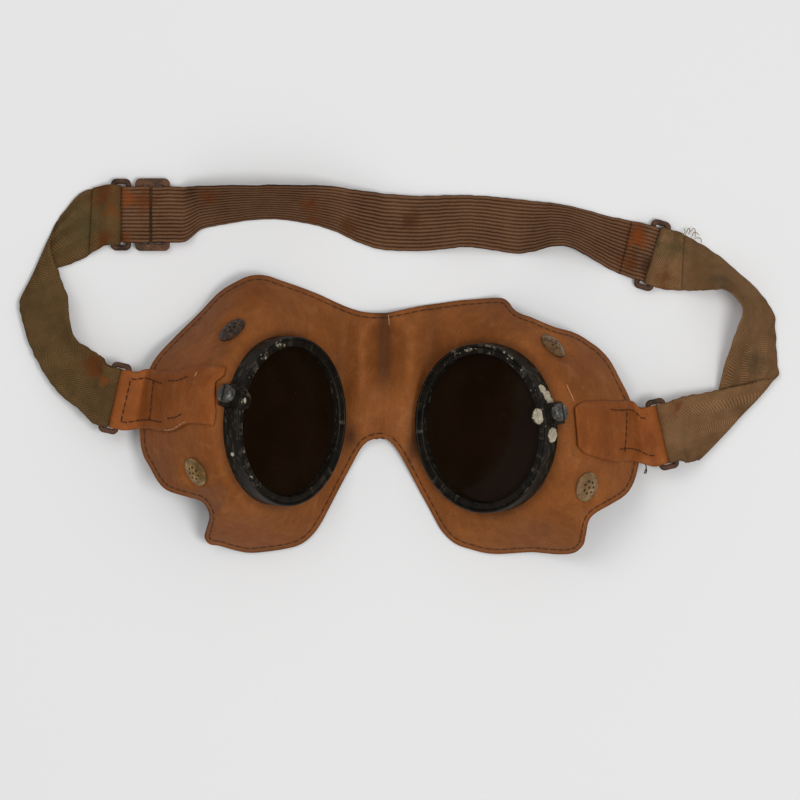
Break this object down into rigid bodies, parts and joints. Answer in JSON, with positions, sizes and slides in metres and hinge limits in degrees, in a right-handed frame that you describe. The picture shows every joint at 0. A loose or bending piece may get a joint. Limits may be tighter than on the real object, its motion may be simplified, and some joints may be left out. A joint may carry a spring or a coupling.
{
  "type": "glacier goggles",
  "caption": "Leather mask goggles with round dark glass lenses in screw-clamped metal eyecups, domed brass vents, and a webbing and elastic head strap on wire loops.",
  "frame": {"origin": "middle of the whole object's footprint, on the surface it lies on", "axes": "+X along the strap to the wearer's left, +Y towards the forehead, +Z out of the lenses, away from the face"},
  "size_m": [0.2446, 0.1217, 0.0525],
  "materials": {
    "aged_brass": "domed brass, tarnished",
    "bare_steel": "bare steel, dull",
    "black_enamel": "black enamel, chipped to bare metal on the rims",
    "brown_elastic": "ribbed woven elastic, rust-stained",
    "dark_glass": "very dark brown mineral glass, polished",
    "khaki_webbing": "herringbone cotton tape, stained",
    "plated_steel": "plated steel, worn",
    "rusty_steel": "steel wire and plate, rusted brown",
    "tab_leather": "tan leather, stitched",
    "tan_leather": "tan vegetable-tanned leather, fine grain, scuffed"
  },
  "bodies": {
    "root": {"mask_leather": "tan_leather", "eyecup_left": "black_enamel", "eyecup_right": "black_enamel", "cup_back_ring_left": "bare_steel", "cup_back_ring_right": "bare_steel", "tab_left": "tab_leather", "tab_right": "tab_leather", "tab_ring_left": "rusty_steel", "tab_ring_right": "rusty_steel", "vent_cap_upper_left": "aged_brass", "vent_cap_lower_left": "aged_brass", "vent_cap_upper_right": "aged_brass", "vent_cap_lower_right": "aged_brass", "vent_washer_upper_left": "aged_brass", "vent_washer_lower_left": "aged_brass", "vent_washer_upper_right": "aged_brass", "vent_washer_lower_right": "aged_brass"},
    "strap": {"elastic_band": "brown_elastic", "webbing_left": "khaki_webbing", "webbing_right": "khaki_webbing", "strap_ring_left": "rusty_steel", "strap_ring_right": "rusty_steel"},
    "slider": {"slider_buckle": "rusty_steel"},
    "lens_carrier_left": {"lens_left": "dark_glass"},
    "bezel_left": {"lens_bezel_left": "black_enamel"},
    "clamp_left": {"clamp_screw_left": "plated_steel"},
    "lens_carrier_right": {"lens_right": "dark_glass"},
    "bezel_right": {"lens_bezel_right": "black_enamel"},
    "clamp_right": {"clamp_screw_right": "plated_steel"}
  },
  "joints": [
    {"name": "strap_swing", "type": "hinge", "parent": "root", "child": "strap", "pos_m": [-0.00352, -0.01522, 0.0092], "axis": [0.9979, -0.064, 0], "range_deg": [0, 160], "deforming": ["webbing_left", "webbing_right"]},
    {"name": "slider_slide", "type": "slide", "parent": "strap", "child": "slider", "axis": [1, 0, 0], "range_m": [0, 0.004]},
    {"name": "bezel_slide_left", "type": "slide", "parent": "root", "child": "bezel_left", "axis": [0.7757, -0.0474, 0.6293], "range_m": [0, 0.014]},
    {"name": "lens_slide_left", "type": "slide", "parent": "root", "child": "lens_carrier_left", "axis": [0.7757, -0.0474, 0.6293], "range_m": [0, 0.0084]},
    {"name": "clamp_screw_turn_left", "type": "hinge", "parent": "root", "child": "clamp_left", "pos_m": [-0.05397, -0.00889, 0.04915], "axis": [-0.5947, 0.2787, 0.7541], "continuous": true},
    {"name": "bezel_slide_right", "type": "slide", "parent": "root", "child": "bezel_right", "axis": [-0.6403, -0.056, 0.766], "range_m": [0, 0.014]},
    {"name": "lens_slide_right", "type": "slide", "parent": "root", "child": "lens_carrier_right", "axis": [-0.6403, -0.056, 0.766], "range_m": [0, 0.0084]},
    {"name": "clamp_screw_turn_right", "type": "hinge", "parent": "root", "child": "clamp_right", "pos_m": [0.04981, -0.01464, 0.04235], "axis": [0.7513, 0.1619, 0.6398], "continuous": true}
  ],
  "couplings": [
    {"joint": "lens_slide_left", "follows": "bezel_slide_left", "ratio": 0.6},
    {"joint": "lens_slide_right", "follows": "bezel_slide_right", "ratio": 0.6}
  ]
}
